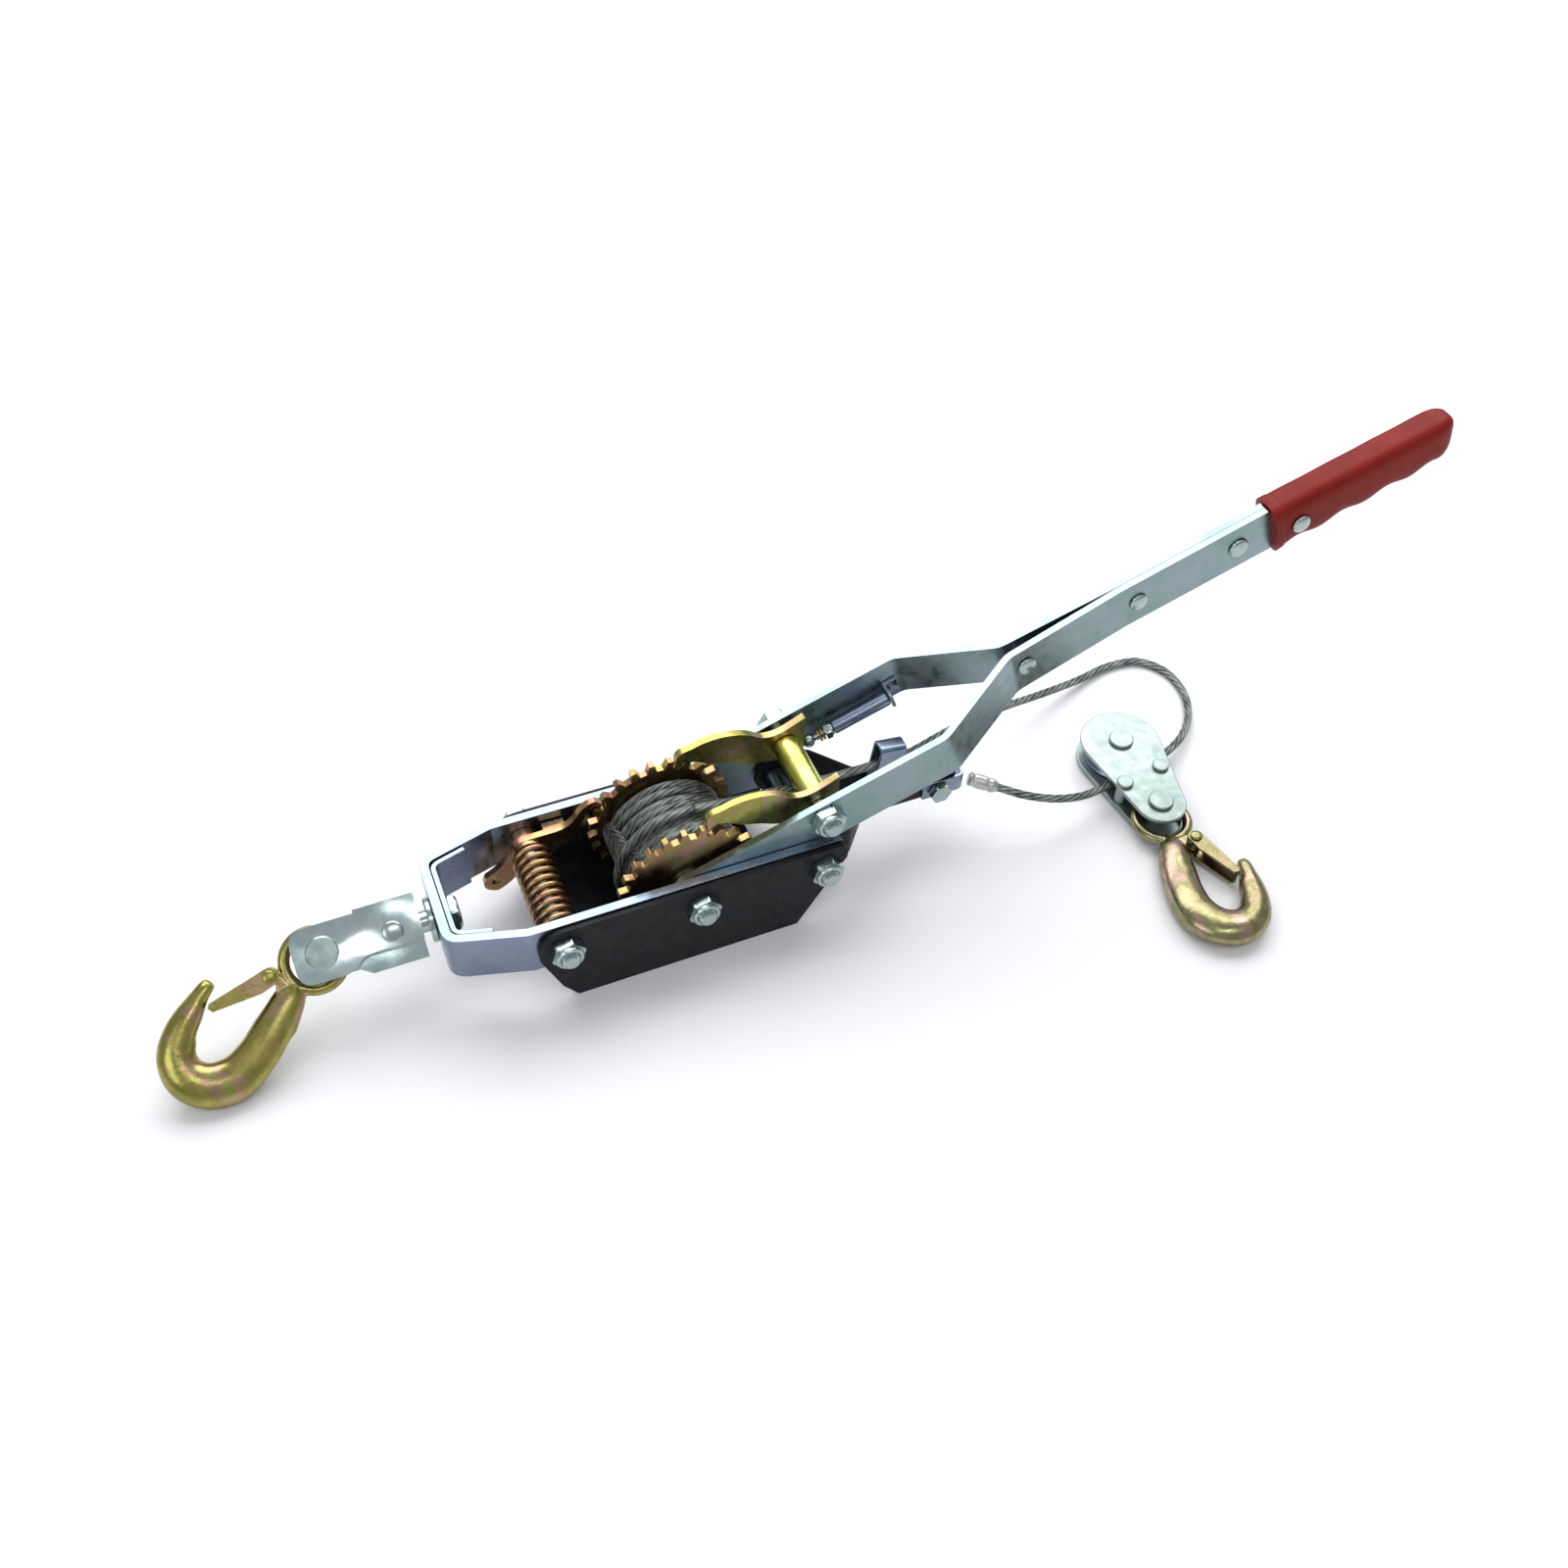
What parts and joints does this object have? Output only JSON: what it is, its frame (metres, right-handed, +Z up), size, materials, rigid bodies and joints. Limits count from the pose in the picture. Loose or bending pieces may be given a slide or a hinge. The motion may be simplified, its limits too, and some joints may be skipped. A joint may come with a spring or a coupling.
{
  "type": "come along winch",
  "caption": "Hand-lever cable puller with ratchet drum, forked handle, swivel hook and pulley block with hook, lying on its side plates with the cable run out.",
  "frame": {"origin": "centre of the bounding box without the free cable, at floor level", "axes": "+X along the frame towards the handle grip, +Z up from the floor, +Y towards the side with the spring-loaded pawl rod"},
  "size_m": [0.7582, 0.2327, 0.2189],
  "materials": {
    "zinc": "bright bluish zinc plating",
    "black": "satin black paint",
    "gold": "yellow passivated zinc plating",
    "yellow": "bright yellow passivated zinc plating",
    "copper": "reddish yellow passivated plating",
    "rope": "galvanised stranded steel",
    "red": "moulded plastic, satin",
    "ferrule": "pressed, matte"
  },
  "bodies": {
    "frame": {"frame_strap": "zinc", "nose_plate": "zinc", "front_bolt": "zinc", "front_nut": "zinc", "axle_bolt": "zinc", "axle_nut": "zinc", "rear_bolt": "zinc", "rear_nut": "zinc", "rear_spacer": "zinc", "anchor_bracket": "zinc", "tail_bolt": "zinc", "tail_nut": "zinc", "cable_guide": "zinc", "block_plate_upper": "zinc", "block_plate_lower": "zinc", "sheave_axle": "zinc", "block_hook_pin": "zinc", "block_spacer_1": "zinc", "block_spacer_2": "zinc", "side_housing": "black", "tail_bar_near": "black", "tail_bar_far": "black", "pawl_spring": "copper", "free_cable": "rope", "cable_ferrule": "ferrule"},
    "drum": {"ratchet_near": "gold", "ratchet_far": "gold", "drum_hub": "zinc", "wound_cable": "rope"},
    "handle": {"handle_arm_near": "zinc", "handle_arm_far": "zinc", "grip": "red", "spread_rivet": "zinc", "middle_rivet": "zinc", "upper_rivet": "zinc", "grip_rivet": "zinc", "pivot_bolt": "zinc", "pivot_nut": "zinc", "spring_bracket": "zinc"},
    "drive_pawl": {"drive_pawl_near": "gold", "drive_pawl_far": "gold", "drive_pawl_tube": "yellow"},
    "spring_housing": {"spring_tube": "zinc", "spring_nut": "zinc", "plunger_spring": "copper"},
    "plunger": {"plunger_rod": "zinc"},
    "holding_pawl": {"holding_pawl": "copper"},
    "swivel": {"swivel_stud": "zinc", "stud_nut": "zinc"},
    "link": {"swivel_link": "zinc", "cross_pin": "zinc", "hook_rivet": "zinc"},
    "front_hook": {"front_hook": "gold", "front_latch_pin": "gold"},
    "front_latch": {"front_latch": "gold"},
    "sheave": {"sheave": "zinc"},
    "block_hook": {"block_hook": "gold", "block_latch_pin": "gold"},
    "block_latch": {"block_latch": "gold"}
  },
  "joints": [
    {"name": "drum_spin", "type": "hinge", "parent": "frame", "child": "drum", "pos_m": [-0.08988, 0.05286, 0.04452], "axis": [0, 1, 0], "continuous": true},
    {"name": "handle_crank", "type": "hinge", "parent": "frame", "child": "handle", "pos_m": [-0.08988, 0.05286, 0.04452], "axis": [0, -1, 0], "range_deg": [0, 105]},
    {"name": "drive_pawl_lift", "type": "hinge", "parent": "handle", "child": "drive_pawl", "pos_m": [-0.01388, 0.05286, 0.07592], "axis": [0, 1, 0], "range_deg": [0, 8], "stiffness_Nm_per_rad": 1, "springref_deg": -11.46},
    {"name": "spring_housing_tilt", "type": "hinge", "parent": "handle", "child": "spring_housing", "pos_m": [0.0528, 0.07836, 0.08786], "axis": [0, 1, 0], "range_deg": [-2, 0]},
    {"name": "plunger_slide", "type": "slide", "parent": "spring_housing", "child": "plunger", "axis": [-0.9444, 0, -0.3289], "range_m": [0, 0.0016]},
    {"name": "holding_pawl_lift", "type": "hinge", "parent": "frame", "child": "holding_pawl", "pos_m": [-0.16648, 0.08086, 0.04452], "axis": [0, -1, 0], "range_deg": [0, 8], "stiffness_Nm_per_rad": 1, "springref_deg": -11.46},
    {"name": "front_swivel", "type": "hinge", "parent": "frame", "child": "swivel", "pos_m": [-0.22638, 0.05286, 0.04452], "axis": [1, 0, 0], "continuous": true},
    {"name": "link_yaw", "type": "hinge", "parent": "swivel", "child": "link", "pos_m": [-0.24888, 0.05286, 0.04452], "axis": [0, -0.6428, 0.766], "range_deg": [-12, 12]},
    {"name": "front_hook_swing", "type": "hinge", "parent": "link", "child": "front_hook", "pos_m": [-0.28588, 0.05286, 0.04452], "axis": [0, -0.6428, 0.766], "range_deg": [-90, 60]},
    {"name": "front_latch_open", "type": "hinge", "parent": "front_hook", "child": "front_latch", "pos_m": [-0.31451, 0.05106, 0.03974], "axis": [0, -0.6428, 0.766], "range_deg": [0, 25], "stiffness_Nm_per_rad": 0.2, "springref_deg": -28.65},
    {"name": "sheave_spin", "type": "hinge", "parent": "frame", "child": "sheave", "pos_m": [0.20412, 0.05066, 0.01102], "axis": [0, 0, 1], "continuous": true},
    {"name": "block_hook_swing", "type": "hinge", "parent": "frame", "child": "block_hook", "pos_m": [0.20012, -0.00214, 0.01102], "axis": [0, 0, 1], "range_deg": [-60, 60]},
    {"name": "block_latch_open", "type": "hinge", "parent": "block_hook", "child": "block_latch", "pos_m": [0.2089, -0.02974, 0.00852], "axis": [0, 0, -1], "range_deg": [0, 25], "stiffness_Nm_per_rad": 0.2, "springref_deg": -28.65}
  ],
  "couplings": [
    {"joint": "spring_housing_tilt", "follows": "drive_pawl_lift", "ratio": -0.2435},
    {"joint": "plunger_slide", "follows": "drive_pawl_lift", "m_per_rad": 0.01066}
  ]
}
